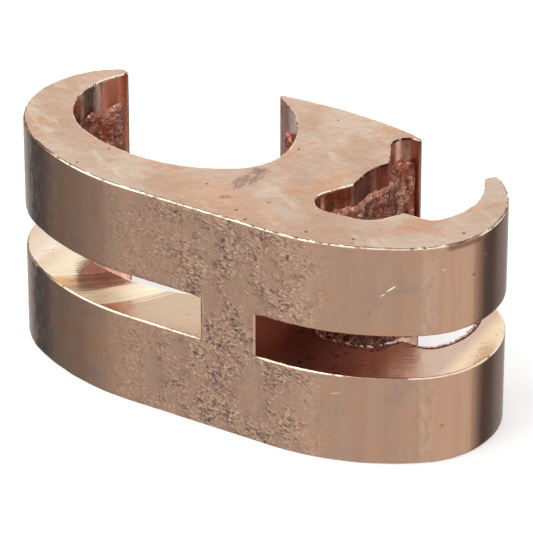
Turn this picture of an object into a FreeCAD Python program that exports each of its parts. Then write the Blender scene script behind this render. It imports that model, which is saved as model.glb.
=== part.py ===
import FreeCAD, Part
import math
import os
import Sketcher

# Driving dimensions, in millimetres and degrees.
# The section is seen from above: +X runs to the right along the front wall, +Y away from it.
# A heading is the direction of travel along an outline, counted from +X towards +Y.
SIZES = {
    # Whole section, as extruded and cut to length
    "body_height": 27.0,
    "front_y": -12.97,
    "flat_left_x": -9.44,
    "flat_width": 17.61,
    "flank_radius": 27.0,
    "hook_radius": 10.2,
    "past_outline": 4.0,
    # Left hook, round the large groove
    "left_flank_sweep": 30.66,
    "left_hook_sweep": 123.0,
    "left_end_heading": -33.0,
    "left_end_width": 2.0,
    # Right hook, round the small groove
    "right_flank_sweep": 35.78,
    "right_hook_sweep": 110.2,
    "right_end_heading": -138.0,
    "right_end_width": 2.4,
    # Middle arm: its end is a shallow arc that turns down to a pointed right tip
    "arm_tip_x": 13.98,
    "arm_tip_y": 10.61,
    "arm_tip_heading": 129.7,
    "arm_tip_flat": 0.5,
    "arm_shoulder_radius": 3.5,
    "arm_shoulder_sweep": 40.0,
    "arm_end_radius": 48.0,
    "arm_end_sweep": 18.6,
    "arm_end_flat": 2.0,
    # Large groove for the run conductor or rod, from the left hook round to the arm
    "run_start_x": -21.80,
    "run_start_y": 7.79,
    "run_start_heading": -123.0,
    "run_entry_flat": 1.35,
    "run_rod_radius": 7.94,
    "run_rod_sweep": 99.0,
    "run_floor_radius": 19.0,
    "run_floor_sweep": 55.3,
    "run_corner_radius": 6.7,
    "run_corner_sweep": 67.8,
    "run_arm_radius": 12.0,
    "run_arm_sweep": 46.0,
    # Small groove for the tap conductor, from the arm's tip round to the right hook
    "tap_start_x": 12.8,
    "tap_start_y": 11.2,
    "tap_entry_flat": 0.31,
    "undercut_radius": 1.74,
    "undercut_sweep": 115.0,
    "undercut_flat": 3.73,
    "waist_radius": 6.0,
    "waist_sweep": 36.0,
    "waist_flat": 2.06,
    "nest_entry_heading": -122.0,
    "nest_entry_flat": 3.42,
    "nest_radius": 2.2,
    "nest_sweep": 127.4,
    "nest_floor_flat": 2.97,
    "nest_exit_radius": 4.0,
    "nest_exit_sweep": 50.8,
    "nest_exit_flat": 2.17,
    "shelf_flat": 2.11,
    "shelf_blend_radius": 2.2,
    "shelf_blend_sweep": 51.75,
    "tap_hook_radius": 7.72,
    "tap_hook_sweep": 64.25,
    # Crimp slots, sawn in from both ends and leaving a web in the middle
    "slot_bottom": 10.9,
    "slot_height": 5.2,
    "slot_reach": 40.0,
    "web_left_x": -0.13,
    "web_right_x": 6.56,
    # Rounded corners, and edges worn to a narrow bevel
    "blunt_corner_radius": 0.5,
    "slight_corner_radius": 0.3,
    "arm_tip_radius": 0.2,
    "end_edge_bevel": 0.28,
    "slot_edge_bevel": 0.15,
    # Joint compound smeared on the groove walls
    "compound_thickness": 0.6,
    "run_compound_height": 7.9,
    "tap_compound_height": 8.6,
    "lower_compound_height": 9.4,
}


# Headings square to the axes, in degrees
RIGHT, UP, LEFT, DOWN = 0.0, 90.0, 180.0, -90.0

# Two points closer than this are one point, in millimetres
CLOSE = 1e-4

# An upright edge this near a listed spot is the corner meant, in millimetres
NEAR = 1.0

# Two walls that meet at less than this run on smoothly, in degrees
SMOOTH_BELOW = 10.0

# The upright corners that are rounded, the cell with their radius, and roughly where they stand
CORNERS = (
    ("blunt_corners", "blunt_corner_radius", ((-22.5, 8.7), (22.8, 8.0), (23.7, 8.9))),
    ("slight_corners", "slight_corner_radius",
     ((-21.6, 8.1), (-5.3, 12.3), (12.5, 5.3), (11.3, -0.2), (18.7, -2.7))),
    ("arm_tip_corner", "arm_tip_radius", ((13.5, 11.2),)),
)


def make_sheet(doc):
    """Put every driving dimension in the sheet, its name beside its value."""
    sheet = doc.addObject("Spreadsheet::Sheet", "Sizes")
    for row, (name, number) in enumerate(SIZES.items(), start=1):
        sheet.set("A%d" % row, name)
        sheet.set("B%d" % row, str(number))
        sheet.setAlias("B%d" % row, name)
    doc.recompute()


class Outline:
    """Lines and arcs drawn end to end in one sketch, each held by dimensions from the sheet."""

    def __init__(self, sketch, start_x, start_y):
        self.sketch = sketch
        self.start_cells = (start_x, start_y)
        self.point = (SIZES[start_x], SIZES[start_y])
        self.start_point = self.point
        self.other_point = self.point
        self.heading = 0.0
        self.other_end = None
        self.last = None

    def dimension(self, cell, kind, *where):
        """Hold a size at the cell's value and keep the two tied together."""
        is_angle = kind == "Angle"
        number = math.radians(SIZES[cell]) if is_angle else SIZES[cell]
        index = self.sketch.addConstraint(Sketcher.Constraint(kind, *where, number))
        name = "%s_%d" % (cell, index)
        self.sketch.renameConstraint(index, name)
        unit = "deg" if is_angle else "mm"
        self.sketch.setExpression("Constraints." + name, "Sizes.%s * 1 %s" % (cell, unit))

    def join(self, piece, begin, end, smooth):
        """Tie a new piece to the end of the one before it, or to the named starting point."""
        if self.last is None:
            self.other_end = (piece, begin)
            self.dimension(self.start_cells[0], "DistanceX", piece, begin)
            self.dimension(self.start_cells[1], "DistanceY", piece, begin)
        else:
            kind = "Tangent" if smooth else "Coincident"
            self.sketch.addConstraint(Sketcher.Constraint(kind, *self.last, piece, begin))
        self.last = (piece, end)

    def straight_to(self, target, smooth=False):
        """A straight line from the current point, with no dimension of its own."""
        ends = [FreeCAD.Vector(x, y, 0) for x, y in (self.point, target)]
        piece = self.sketch.addGeometry(Part.LineSegment(*ends), False)
        self.join(piece, 1, 2, smooth)
        self.point = target
        return piece

    def line(self, length, heading=None, level=None, smooth=False):
        """A line that carries on smoothly, or sets off at a heading or square to the axes."""
        if heading is not None:
            self.heading = SIZES[heading]
        elif level is not None:
            self.heading = level
        else:
            smooth = True
        turn = math.radians(self.heading)
        reach = SIZES[length]
        x, y = self.point
        piece = self.straight_to((x + reach * math.cos(turn), y + reach * math.sin(turn)), smooth)
        self.dimension(length, "Distance", piece)
        if heading is not None:
            self.dimension(heading, "Angle", piece)
        if level is not None:
            kind = "Vertical" if level in (UP, DOWN) else "Horizontal"
            self.sketch.addConstraint(Sketcher.Constraint(kind, piece))

    def arc(self, radius, sweep, left=True, corner=False):
        """An arc to the left or right, smooth after the last piece unless it starts at a corner."""
        side = 1 if left else -1
        reach = SIZES[radius]
        turn = math.radians(self.heading)
        x = self.point[0] - side * reach * math.sin(turn)
        y = self.point[1] + side * reach * math.cos(turn)
        begin_angle = turn - side * math.pi / 2
        end_angle = begin_angle + side * math.radians(SIZES[sweep])
        circle = Part.Circle(FreeCAD.Vector(x, y, 0), FreeCAD.Vector(0, 0, 1), reach)
        span = (begin_angle, end_angle) if left else (end_angle, begin_angle)
        piece = self.sketch.addGeometry(Part.ArcOfCircle(circle, *span), False)
        begin, end = (1, 2) if left else (2, 1)
        self.join(piece, begin, end, not corner)
        self.dimension(radius, "Radius", piece)
        self.dimension(sweep, "Angle", piece)
        self.heading += side * SIZES[sweep]
        self.point = (x + reach * math.cos(end_angle), y + reach * math.sin(end_angle))

    def line_to(self, x_cell, y_cell):
        """A straight line to a named point."""
        piece = self.straight_to((SIZES[x_cell], SIZES[y_cell]))
        self.dimension(x_cell, "DistanceX", piece, 2)
        self.dimension(y_cell, "DistanceY", piece, 2)

    def turn_back(self, heading):
        """Carry on from the outline's starting point, the other way."""
        self.other_end, self.last = self.last, self.other_end
        self.other_point = self.point
        self.point = self.start_point
        self.heading = heading

    def close(self):
        """A straight line that joins the two ends of the outline."""
        piece = self.straight_to(self.other_point)
        self.sketch.addConstraint(Sketcher.Constraint("Coincident", piece, 2, *self.other_end))


def draw_envelope(sketch):
    """The outline of the whole E, with both grooves still full."""
    outline = Outline(sketch, "flat_left_x", "front_y")
    outline.line("flat_width", level=RIGHT)
    outline.arc("flank_radius", "right_flank_sweep")
    outline.arc("hook_radius", "right_hook_sweep")
    outline.line("right_end_width", heading="right_end_heading")
    outline.line_to("arm_tip_x", "arm_tip_y")
    outline.line("arm_tip_flat", heading="arm_tip_heading")
    outline.arc("arm_shoulder_radius", "arm_shoulder_sweep")
    outline.arc("arm_end_radius", "arm_end_sweep")
    outline.line("arm_end_flat")
    outline.turn_back(LEFT)
    outline.arc("flank_radius", "left_flank_sweep", left=False)
    outline.arc("hook_radius", "left_hook_sweep", left=False)
    outline.line("left_end_width", heading="left_end_heading")
    outline.close()


def draw_run_wall(sketch):
    """The wall of the large groove: left hook, rod nest, shallow floor, corner and arm."""
    wall = Outline(sketch, "run_start_x", "run_start_y")
    wall.line("run_entry_flat", heading="run_start_heading")
    wall.arc("run_rod_radius", "run_rod_sweep")
    wall.arc("run_floor_radius", "run_floor_sweep")
    wall.arc("run_corner_radius", "run_corner_sweep")
    wall.arc("run_arm_radius", "run_arm_sweep")
    return wall


def draw_tap_wall(sketch):
    """The wall of the small groove: undercut tip, waist, small nest, shelf and right hook."""
    wall = Outline(sketch, "tap_start_x", "tap_start_y")
    wall.line("tap_entry_flat", level=LEFT)
    wall.arc("undercut_radius", "undercut_sweep")
    wall.line("undercut_flat")
    wall.heading = DOWN - SIZES["waist_sweep"]
    wall.arc("waist_radius", "waist_sweep", corner=True)
    wall.line("waist_flat", level=DOWN, smooth=True)
    wall.line("nest_entry_flat", heading="nest_entry_heading")
    wall.arc("nest_radius", "nest_sweep")
    wall.line("nest_floor_flat")
    wall.arc("nest_exit_radius", "nest_exit_sweep")
    wall.line("nest_exit_flat")
    wall.line("shelf_flat", level=RIGHT)
    wall.arc("shelf_blend_radius", "shelf_blend_sweep")
    wall.arc("tap_hook_radius", "tap_hook_sweep")
    return wall


# Each layer of joint compound: its groove's wall, the height it starts at and how far up it goes
COMPOUND = (
    ("run_groove_compound", draw_run_wall,
     "(Sizes.slot_bottom + Sizes.slot_height) * 1 mm", "Sizes.run_compound_height * 1 mm"),
    ("tap_groove_compound_upper", draw_tap_wall,
     "(Sizes.slot_bottom + Sizes.slot_height) * 1 mm", "Sizes.tap_compound_height * 1 mm"),
    ("tap_groove_compound_lower", draw_tap_wall,
     "(Sizes.slot_bottom - Sizes.lower_compound_height) * 1 mm", "Sizes.lower_compound_height * 1 mm"),
)


def draw_groove(sketch, draw_wall, start_heading):
    """A groove's wall carried on past the envelope at both ends, then closed outside it.

    start_heading is the way the wall sets off from its first point.
    """
    wall = draw_wall(sketch)
    wall.line("past_outline")
    wall.turn_back(start_heading + LEFT)
    wall.line("past_outline")
    wall.close()


def draw_slot(sketch, web_side, away):
    """A slot seen from the front, from the web out past the end of the part."""
    slot = Outline(sketch, web_side, "slot_bottom")
    slot.line("slot_height", level=UP)
    slot.line("slot_reach", level=away)
    slot.line("slot_height", level=DOWN)
    slot.close()


def body_sketch(body, name, role):
    """A sketch on one of the body's own origin planes."""
    sketch = body.newObject("Sketcher::SketchObject", name)
    plane = next(item for item in body.Origin.OriginFeatures if item.Role == role)
    sketch.AttachmentSupport = [(plane, "")]
    sketch.MapMode = "FlatFace"
    return sketch


def cut_profile(body, sketch):
    """Cut a sketch's profile right through the body, and make sure that it takes metal away."""
    before = body.Tip.Shape.Volume
    pocket = body.newObject("PartDesign::Pocket", sketch.Name + "_cut")
    pocket.Profile = sketch
    pocket.SideType = "Symmetric"
    pocket.setExpression("Length", "3 * Sizes.body_height * 1 mm")
    body.Document.recompute()
    if pocket.Shape.Volume >= before:
        raise ValueError("%s cuts nothing" % pocket.Name)


def is_upright(edge):
    """True for an edge that runs straight up."""
    ends = [vertex.Point for vertex in (edge.Vertexes[0], edge.Vertexes[-1])]
    return math.hypot(ends[0].x - ends[1].x, ends[0].y - ends[1].y) < CLOSE < abs(ends[0].z - ends[1].z)


def is_corner(shape, edge):
    """True where the two walls beside an edge meet at an angle."""
    middle = edge.valueAt((edge.FirstParameter + edge.LastParameter) / 2)
    walls = [face for face in shape.Faces if any(side.isSame(edge) for side in face.Edges)]
    normals = [wall.normalAt(*wall.Surface.parameter(middle)) for wall in walls]
    return len(normals) == 2 and normals[0].getAngle(normals[1]) > math.radians(SMOOTH_BELOW)


def upright_corners(shape, spots):
    """The upright corners that stand near any of the given spots."""
    def stands_near(edge):
        at = edge.Vertexes[0].Point
        return any(math.hypot(at.x - x, at.y - y) < NEAR for x, y in spots)

    return [edge for edge in shape.Edges if is_upright(edge) and stands_near(edge) and is_corner(shape, edge)]


def level_edges(shape, heights):
    """The edges round the walls that lie at any of the given heights, apart from the web's ends."""
    web_ends = (SIZES["web_left_x"], SIZES["web_right_x"])

    def lies_level(edge):
        return all(any(abs(end.Z - z) < CLOSE for z in heights) for end in edge.Vertexes)

    def at_web(edge):
        return all(any(abs(end.X - x) < CLOSE for x in web_ends) for end in edge.Vertexes)

    return [edge for edge in shape.Edges if lies_level(edge) and not is_upright(edge) and not at_web(edge)]


def ease_edges(body, name, kind, measure, cell, edges):
    """Round or bevel some edges of the body as it stands."""
    base = body.Tip
    names = ["Edge%d" % number for number, edge in enumerate(base.Shape.Edges, start=1)
             if any(edge.isSame(chosen) for chosen in edges)]
    eased = body.newObject("PartDesign::" + kind, name)
    eased.Base = (base, names)
    eased.setExpression(measure, "Sizes.%s * 1 mm" % cell)
    body.Document.recompute()


def make_body(doc):
    """The copper E: extruded, cut to length, its edges worn, then slotted from both ends."""
    body = doc.addObject("PartDesign::Body", "connector_body")
    envelope = body_sketch(body, "envelope", "XY_Plane")
    draw_envelope(envelope)
    pad = body.newObject("PartDesign::Pad", "extrusion")
    pad.Profile = envelope
    pad.setExpression("Length", "Sizes.body_height * 1 mm")
    doc.recompute()

    run_groove = body_sketch(body, "run_groove", "XY_Plane")
    draw_groove(run_groove, draw_run_wall, SIZES["run_start_heading"])
    cut_profile(body, run_groove)
    tap_groove = body_sketch(body, "tap_groove", "XY_Plane")
    draw_groove(tap_groove, draw_tap_wall, LEFT)
    cut_profile(body, tap_groove)

    ends = (0.0, SIZES["body_height"])
    edges = level_edges(body.Tip.Shape, ends)
    ease_edges(body, "end_edges", "Chamfer", "Size", "end_edge_bevel", edges)
    for name, radius, spots in CORNERS:
        edges = upright_corners(body.Tip.Shape, spots)
        ease_edges(body, name, "Fillet", "Radius", radius, edges)

    slots = body_sketch(body, "slots", "XZ_Plane")
    draw_slot(slots, "web_left_x", LEFT)
    draw_slot(slots, "web_right_x", RIGHT)
    cut_profile(body, slots)
    faces = (SIZES["slot_bottom"], SIZES["slot_bottom"] + SIZES["slot_height"])
    edges = level_edges(body.Tip.Shape, faces)
    ease_edges(body, "slot_edges", "Chamfer", "Size", "slot_edge_bevel", edges)
    return body


def make_compound(doc, name, draw_wall, bottom, height):
    """A layer of joint compound that lies on a groove's wall, from a height upwards."""
    path = doc.addObject("Sketcher::SketchObject", name + "_path")
    draw_wall(path)
    path.setExpression("Placement.Base.z", bottom)
    strip = doc.addObject("Part::Offset2D", name + "_strip")
    strip.Source = path
    strip.setExpression("Value", "-Sizes.compound_thickness")
    strip.Mode = "Skin"
    strip.Join = "Arc"
    strip.Fill = True
    layer = doc.addObject("Part::Extrusion", name)
    layer.Base = strip
    layer.DirMode = "Custom"
    layer.Dir = FreeCAD.Vector(0, 0, 1)
    layer.setExpression("LengthFwd", height)
    layer.Solid = True
    doc.recompute()
    return layer


def export(doc, pieces):
    """Check every object, then write each piece to a file named after it."""
    doc.recompute()
    for item in doc.Objects:
        if "Invalid" in item.State or "Error" in item.State:
            raise ValueError("%s failed: %s" % (item.Name, item.State))
    for piece in pieces:
        if piece.Shape.isNull() or not piece.Shape.isValid() or len(piece.Shape.Solids) != 1:
            raise ValueError("%s is not one sound solid" % piece.Label)
    os.makedirs("parts", exist_ok=True)
    for piece in pieces:
        piece.Shape.exportStep("parts/%s.step" % piece.Label)
        box = piece.Shape.optimalBoundingBox()
        print("%s: %.2f x %.2f x %.2f mm" % (piece.Label, box.XLength, box.YLength, box.ZLength),
              "volume %.1f mm3" % piece.Shape.Volume)


def main():
    doc = FreeCAD.newDocument("grounding_connector")
    make_sheet(doc)
    pieces = [make_body(doc)]
    for name, draw_wall, bottom, height in COMPOUND:
        pieces.append(make_compound(doc, name, draw_wall, bottom, height))
    for piece in pieces:
        piece.Label = piece.Name
    export(doc, pieces)


main()
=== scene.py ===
import math

import bpy
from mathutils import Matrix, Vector, noise


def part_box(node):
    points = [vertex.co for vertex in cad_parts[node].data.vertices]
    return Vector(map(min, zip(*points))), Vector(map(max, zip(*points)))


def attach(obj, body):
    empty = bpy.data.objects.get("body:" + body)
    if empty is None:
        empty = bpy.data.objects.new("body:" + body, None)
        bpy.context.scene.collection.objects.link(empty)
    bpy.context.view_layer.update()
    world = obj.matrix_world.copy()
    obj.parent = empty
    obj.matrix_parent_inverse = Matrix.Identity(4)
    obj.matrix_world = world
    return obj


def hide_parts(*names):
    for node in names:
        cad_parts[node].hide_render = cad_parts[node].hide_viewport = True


MM = 0.001
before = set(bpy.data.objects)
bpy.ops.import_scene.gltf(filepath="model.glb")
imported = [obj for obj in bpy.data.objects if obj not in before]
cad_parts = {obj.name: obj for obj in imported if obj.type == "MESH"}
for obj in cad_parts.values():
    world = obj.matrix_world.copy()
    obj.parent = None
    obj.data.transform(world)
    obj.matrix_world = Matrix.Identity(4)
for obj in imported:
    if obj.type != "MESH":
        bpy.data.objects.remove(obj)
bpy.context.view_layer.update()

# Measures of the copper section in millimetres, as in the frame
HEIGHT = 27.0
SLOT_FLOOR = 10.9
SLOT_CEILING = 16.1
WEB_LEFT = -0.13
WEB_RIGHT = 6.56
SECTION_LEVEL = 20.0

# Places along the section's outline in millimetres, counterclockwise from its leftmost point:
# where each wall ends, and where the hammered front and the rough left end start, are full and fade
FRONT_END = 79.2
TAP_END = 125.3
ARM_END = 143.3
RUN_END = 197.1
ROUGH_START = 19.0
ROUGH_FULL = 35.0
ROUGH_FADE = 44.0
ROUGH_END = 51.0
LEFT_ROUGH_FULL = 7.0
LEFT_ROUGH_END = 12.5

# Grid of the walls in millimetres, and the steps round an edge
COLUMN_STEP = 0.22
ROW_STEP = 0.42
EDGE_STEPS = 5

# Outline: a longer stretch than this is straight, a smaller turn is no bend, and the curve's fine step
STRAIGHT_ABOVE = 2.4
SMALLEST_BEND = math.radians(0.3)
OUTLINE_GRAIN = 0.05

# How far from the web the slot's worn edges shrink to nothing, in millimetres
SLOT_EASE_REACH = 1.2

# Depths of the uneven wall, and radii of the worn edges, in millimetres
UNEVEN_DEPTH = 0.02
DRAW_LINE_DEPTH = 0.006
DENT_DEPTH = 0.03
PIT_DEPTH = 0.05
OUTER_EDGE = 0.24
GROOVE_EDGE = 0.13
SMALLEST_EDGE = 0.06
SHALLOWEST_EDGE = 0.05


def rgb(red, green, blue):
    """A colour as it looks on a screen, 0 to 255, in the renderer's scale."""
    def channel(value):
        value /= 255.0
        return value / 12.92 if value <= 0.04045 else ((value + 0.055) / 1.055) ** 2.4
    return (channel(red), channel(green), channel(blue), 1.0)


def smooth(low, high, value):
    """0 below low, 1 above high and a smooth step between them."""
    t = min(max((value - low) / (high - low), 0.0), 1.0)
    return t * t * (3.0 - 2.0 * t)


def wave(x, y, z, scale):
    """Smooth noise between about -1 and 1, with features about 1/scale wide."""
    return noise.noise(Vector((x * scale, y * scale, z * scale)))


# Outline of the section

def section(node, level):
    """The closed outline of a node at one height, counterclockwise, as (x, y) in millimetres."""
    mesh = node.data
    mesh.calc_loop_triangles()
    points = [vertex.co / MM for vertex in mesh.vertices]
    beside = {}
    for triangle in mesh.loop_triangles:
        corners = [points[index] for index in triangle.vertices]
        crossings = []
        for first, second in ((0, 1), (1, 2), (2, 0)):
            above, below = corners[first].z - level, corners[second].z - level
            if above * below < 0:
                point = corners[first].lerp(corners[second], above / (above - below))
                crossings.append((round(point.x, 3), round(point.y, 3)))
        if len(crossings) == 2 and crossings[0] != crossings[1]:
            beside.setdefault(crossings[0], set()).add(crossings[1])
            beside.setdefault(crossings[1], set()).add(crossings[0])
    start = min(beside)
    outline, before, here = [start], None, start
    while True:
        onward = sorted(point for point in beside[here] if point != before)[0]
        if onward == start:
            break
        outline.append(onward)
        before, here = here, onward
    outline = [Vector(point) for point in outline]
    count = len(outline)
    area = sum(outline[i].cross(outline[(i + 1) % count]) for i in range(count))
    if area < 0:
        outline = [outline[0]] + outline[:0:-1]
    bends = []
    for i in range(count):
        come = outline[i] - outline[i - 1]
        leave = outline[(i + 1) % count] - outline[i]
        if abs(come.angle_signed(leave)) > SMALLEST_BEND:
            bends.append(outline[i])
    return bends


def resample(outline, step):
    """Evenly spaced points on a smooth curve through an outline, and their distances along it."""
    count = len(outline)
    dense = []
    for i in range(count):
        before, start = outline[i - 1], outline[i]
        end, after = outline[(i + 1) % count], outline[(i + 2) % count]
        length = (end - start).length
        slope_start = (end - before).normalized() * length
        slope_end = (after - start).normalized() * length
        if length > STRAIGHT_ABOVE:
            slope_start = slope_end = end - start
        parts = max(1, round(length / OUTLINE_GRAIN))
        for part in range(parts):
            t = part / parts
            dense.append(
                start * (2 * t ** 3 - 3 * t ** 2 + 1) + slope_start * (t ** 3 - 2 * t ** 2 + t)
                + end * (3 * t ** 2 - 2 * t ** 3) + slope_end * (t ** 3 - t ** 2)
            )
    along = [0.0]
    for i in range(len(dense)):
        along.append(along[-1] + (dense[(i + 1) % len(dense)] - dense[i]).length)
    total = along[-1]
    spaces = round(total / step)
    points, places, index = [], [], 0
    for i in range(spaces):
        place = total * i / spaces
        while along[index + 1] < place:
            index += 1
        part = (place - along[index]) / (along[index + 1] - along[index])
        points.append(dense[index].lerp(dense[(index + 1) % len(dense)], part))
        places.append(place)
    return points, places, total


class Column:
    """One upright line of the walls: its point, its outward direction and its place along the outline."""

    def __init__(self, point, place):
        self.point = point
        self.place = place
        self.outward = None
        self.in_web = WEB_LEFT - 1e-6 <= point.x <= WEB_RIGHT + 1e-6
        self.slot_ease = 1.0


def make_columns():
    points, places, total = resample(section(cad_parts["connector_body"], SECTION_LEVEL), COLUMN_STEP)
    columns = []
    for i, point in enumerate(points):
        columns.append(Column(point, places[i]))
        onward = points[(i + 1) % len(points)]
        for plane in (WEB_LEFT, WEB_RIGHT):
            if (point.x - plane) * (onward.x - plane) < 0:
                part = (plane - point.x) / (onward.x - point.x)
                crossing = point.lerp(onward, part)
                crossing.x = plane
                columns.append(Column(crossing, places[i] + part * total / len(points)))
    count = len(columns)
    for i, column in enumerate(columns):
        along = columns[(i + 1) % count].point - columns[i - 1].point
        column.outward = Vector((along.y, -along.x)).normalized()
    web_places = [column.place for column in columns if column.in_web]
    for column in columns:
        gap = min(min(abs(column.place - place), total - abs(column.place - place)) for place in web_places)
        column.slot_ease = smooth(0.0, SLOT_EASE_REACH, gap)
    return columns, total


columns, OUTLINE_LENGTH = make_columns()


def web_reach(start, end):
    """The first and last place of the web on the wall between two places along the outline."""
    places = [column.place for column in columns if column.in_web and start < column.place < end]
    return min(places), max(places)


WEB_START, WEB_END = web_reach(0.0, FRONT_END)
ARM_WEB_START, ARM_WEB_END = web_reach(TAP_END, ARM_END)


def is_groove(place):
    return FRONT_END < place < TAP_END or ARM_END < place < RUN_END


def around(place, x_offset=0.0):
    """A place along the closed outline as a point on a circle, so that noise has no seam."""
    angle = 2.0 * math.pi * place / OUTLINE_LENGTH
    radius = OUTLINE_LENGTH / (2.0 * math.pi)
    return radius * math.cos(angle) + x_offset, radius * math.sin(angle)


# Copper body

def wall_inset(place, level):
    """How far a wall lies inside the drawn one, from uneven extrusion and handling."""
    x, y = around(place)
    rough = smooth(ROUGH_START, ROUGH_FULL, place) * (1.0 - smooth(ROUGH_FADE, ROUGH_END, place))
    broad = 0.5 + 0.5 * wave(x, y, level * 0.35, 0.35)
    dents = max(0.0, wave(x + 90.0, y, level, 0.6)) + max(0.0, wave(x + 50.0, y, level, 1.9))
    draw_lines = 0.5 + 0.5 * wave(x + 30.0, y, level * 0.05, 1.1)
    left = 1.0 - smooth(LEFT_ROUGH_FULL, LEFT_ROUGH_END, min(place, OUTLINE_LENGTH - place))
    pits = abs(wave(x, y + 70.0, level, 1.4)) + abs(wave(x + 15.0, y, level, 2.3))
    even = UNEVEN_DEPTH * broad + DRAW_LINE_DEPTH * draw_lines
    return even + DENT_DEPTH * rough * dents + PIT_DEPTH * left * pits


def edge_size(place, seed):
    """Radius of a worn edge at a place along the outline, in millimetres."""
    x, y = around(place, seed)
    worn = OUTER_EDGE + 0.09 * wave(x, y, 0.0, 0.45) + 0.06 * wave(x, y, 7.0, 1.6)
    if is_groove(place):
        worn = GROOVE_EDGE + 0.05 * wave(x, y, 3.0, 0.7) + 0.05 * wave(x, y, 9.0, 2.4)
    return max(worn, SMALLEST_EDGE)


def edge_rows(column, level, away, radius, ease):
    """The rows that round an edge, from the end face inwards: (height, inset) pairs."""
    rows = []
    for step in range(EDGE_STEPS + 1):
        turn = 0.5 * math.pi * step / EDGE_STEPS
        depth = max(radius * ease, SHALLOWEST_EDGE) * (1.0 - math.cos(turn))
        height = level + away * depth
        inset = radius * ease * (1.0 - math.sin(turn))
        rows.append((height, inset + wall_inset(column.place, height)))
    return rows


def band_rows(column, bottom, top, bottom_radius, top_radius, bottom_ease, top_ease):
    """The rows of one band of wall, from its bottom face to its top face."""
    low = edge_rows(column, bottom, 1.0, bottom_radius, bottom_ease)
    high = edge_rows(column, top, -1.0, top_radius, top_ease)
    first, last = low[-1][0], high[-1][0]
    middle = []
    steps = round((top - bottom) / ROW_STEP)
    for step in range(1, steps):
        height = first + (last - first) * step / steps
        middle.append((height, wall_inset(column.place, height)))
    return low + middle + high[::-1]


# Seeds of the edges' wear: bottom, slot floor, slot ceiling and top
EDGE_SEEDS = (0.0, 40.0, 80.0, 120.0)


def build_body():
    """The copper E as one closed mesh, with worn edges and uneven walls."""
    vertices, faces, kinds, marks = [], [], [], []

    def add_rows(column, rows):
        start = len(vertices)
        for height, inset in rows:
            spot = column.point - column.outward * inset
            vertices.append((spot.x * MM, spot.y * MM, height * MM))
            marks.append((column.place, height))
        return list(range(start, len(vertices)))

    lower, upper, web = [], [], []
    for column in columns:
        ease = column.slot_ease
        edges = [edge_size(column.place, seed) for seed in EDGE_SEEDS]
        lower.append(add_rows(column, band_rows(
            column, 0.0, SLOT_FLOOR, edges[0], edges[1], 1.0, ease)))
        upper.append(add_rows(column, band_rows(
            column, SLOT_CEILING, HEIGHT, edges[2], edges[3], ease, 1.0)))
        if column.in_web:
            steps = round((SLOT_CEILING - SLOT_FLOOR) / ROW_STEP)
            heights = [SLOT_FLOOR + (SLOT_CEILING - SLOT_FLOOR) * step / steps for step in range(1, steps)]
            rows = [(height, wall_inset(column.place, height)) for height in heights]
            web.append([lower[-1][-1]] + add_rows(column, rows) + [upper[-1][0]])
        else:
            web.append(None)

    count = len(columns)
    for i in range(count):
        j = (i + 1) % count
        kind = "groove" if is_groove(columns[i].place) else "skin"
        for grid in (lower, upper, web):
            if grid[i] is None or grid[j] is None:
                continue
            for row in range(len(grid[i]) - 1):
                faces.append((grid[i][row], grid[j][row], grid[j][row + 1], grid[i][row + 1]))
                kinds.append(kind)

    def add_cap(loop, kind):
        faces.append(tuple(loop))
        kinds.append(kind)

    add_cap([rows[-1] for rows in upper], "end")
    add_cap([rows[0] for rows in lower][::-1], "end")
    start = next(i for i in range(count) if columns[i].in_web and not columns[(i + 1) % count].in_web)
    run = []
    for step in range(count + 1):
        i = (start + step) % count
        run.append(i)
        if columns[i].in_web:
            if len(run) > 2:
                add_cap([lower[k][-1] for k in run], "slot")
                add_cap([upper[k][0] for k in run][::-1], "slot")
                add_cap([web[run[0]][0]] + web[run[-1]] + web[run[0]][:0:-1], "slot")
            run = [i]

    names = list(FINISHES)
    mesh = bpy.data.meshes.new("copper_section")
    mesh.from_pydata(vertices, [], faces)
    layer = mesh.uv_layers.new(name="wall")
    for polygon in mesh.polygons:
        spots = [marks[mesh.loops[index].vertex_index] for index in polygon.loop_indices]
        furthest = max(place for place, height in spots)
        for index, (place, height) in zip(polygon.loop_indices, spots):
            over_seam = len(spots) == 4 and furthest - place > OUTLINE_LENGTH / 2.0
            layer.data[index].uv = (place + OUTLINE_LENGTH if over_seam else place, height)
    for polygon, kind in zip(mesh.polygons, kinds):
        polygon.material_index = names.index(kind)
        polygon.use_smooth = len(polygon.vertices) == 4
    body = bpy.data.objects.new("copper_section", mesh)
    bpy.context.collection.objects.link(body)
    for name in names:
        mesh.materials.append(FINISHES[name])
    mesh.validate()
    return body


# Finishes

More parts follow.
